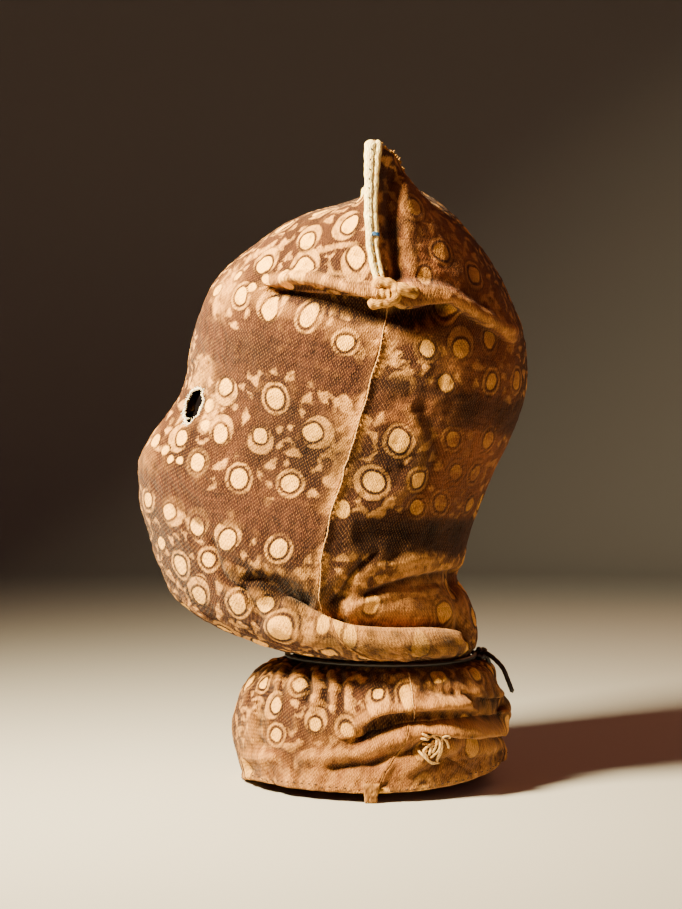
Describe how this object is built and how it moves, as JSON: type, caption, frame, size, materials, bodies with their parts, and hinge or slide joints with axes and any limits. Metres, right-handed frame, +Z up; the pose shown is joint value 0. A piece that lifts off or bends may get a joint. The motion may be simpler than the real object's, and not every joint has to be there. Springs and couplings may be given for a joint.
{
  "type": "boloye hood mask",
  "caption": "Full-head cotton hood mask with upright corner ears, eye holes, a nose bump, a corded neck and a short flared collar, printed with ring spots.",
  "frame": {"origin": "under the middle of the hood, on the surface that its hem rests on", "axes": "+Z up to the ears, the face looks along -Y, the wearer's left side is +X"},
  "size_m": [0.2022, 0.2619, 0.4131],
  "materials": {
    "cotton_cloth": "handspun plain weave, dyed brown with cream ring spots",
    "waxed_cord": "dark, waxed and glossy",
    "undyed_cotton": "undyed yarn, loosely twisted"
  },
  "bodies": {
    "root": {"front_panel": "cotton_cloth", "back_panel": "cotton_cloth", "neck_cord": "waxed_cord", "hem_tab": "undyed_cotton"}
  },
  "joints": []
}
